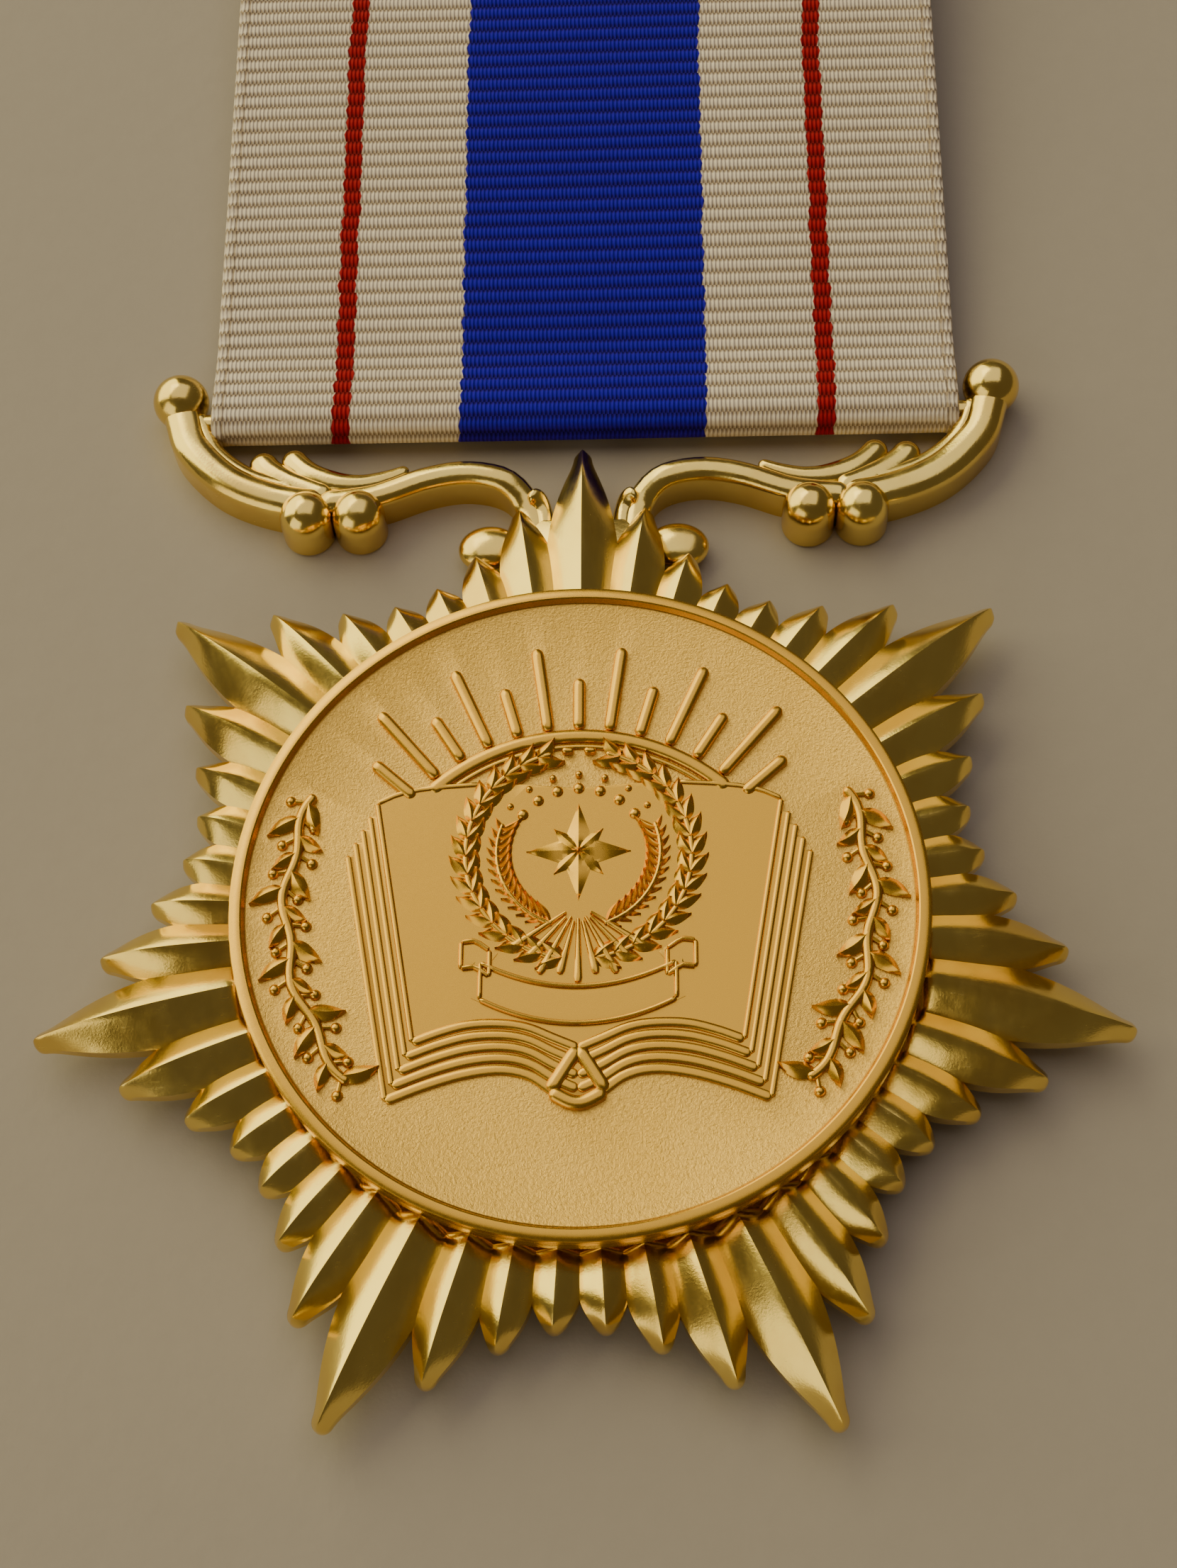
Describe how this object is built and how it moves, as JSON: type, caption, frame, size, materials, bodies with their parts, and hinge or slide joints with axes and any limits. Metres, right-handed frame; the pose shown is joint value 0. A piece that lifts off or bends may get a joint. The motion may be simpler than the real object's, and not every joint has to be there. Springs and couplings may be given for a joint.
{
  "type": "military service medal",
  "caption": "Gilt seven-pointed star medal with a relief disc, hung by a scroll suspender from a striped ribbon on a pin-back slot brooch.",
  "frame": {"origin": "centre of the star, on the flat back of the back disc that the medal lies on", "axes": "+Y from the star to the brooch, +Z out of the medal's face, +X to the right when the face is seen"},
  "size_m": [0.0502, 0.1057, 0.0056],
  "materials": {
    "polished_gilt": "polished gold plate",
    "satin_gilt": "sandblasted gold plate with satin relief",
    "brass_fittings": "plain drawn and stamped brass",
    "ribbon_cloth": "ribbed grosgrain, cream with thin red stripes and a royal blue centre"
  },
  "bodies": {
    "brooch": {"brooch_frame": "polished_gilt", "brooch_rod": "polished_gilt", "pin_hinge_bracket": "brass_fittings", "pin_hinge_rivet": "brass_fittings", "pin_catch": "brass_fittings"},
    "ribbon": {"ribbon": "ribbon_cloth"},
    "pendant": {"star": "polished_gilt", "face_disc": "satin_gilt", "back_disc": "satin_gilt", "disc_rivet_left": "brass_fittings", "disc_rivet_right": "brass_fittings", "scroll_suspender": "polished_gilt", "suspender_rivet_left": "brass_fittings", "suspender_rivet_right": "brass_fittings", "ribbon_rod": "polished_gilt"},
    "pin": {"pin": "brass_fittings"}
  },
  "joints": [
    {"name": "ribbon_swing", "type": "hinge", "parent": "brooch", "child": "ribbon", "pos_m": [0, 0.07381, 0.0045], "axis": [1, 0, 0], "range_deg": [-100, 100]},
    {"name": "pendant_swing", "type": "hinge", "parent": "ribbon", "child": "pendant", "pos_m": [0, 0.02821, 0.00131], "axis": [1, 0, 0], "range_deg": [-100, 100]},
    {"name": "pin_open", "type": "hinge", "parent": "brooch", "child": "pin", "pos_m": [-0.0165, 0.07892, 0.0013], "axis": [0, 1, 0], "range_deg": [0, 110]}
  ]
}
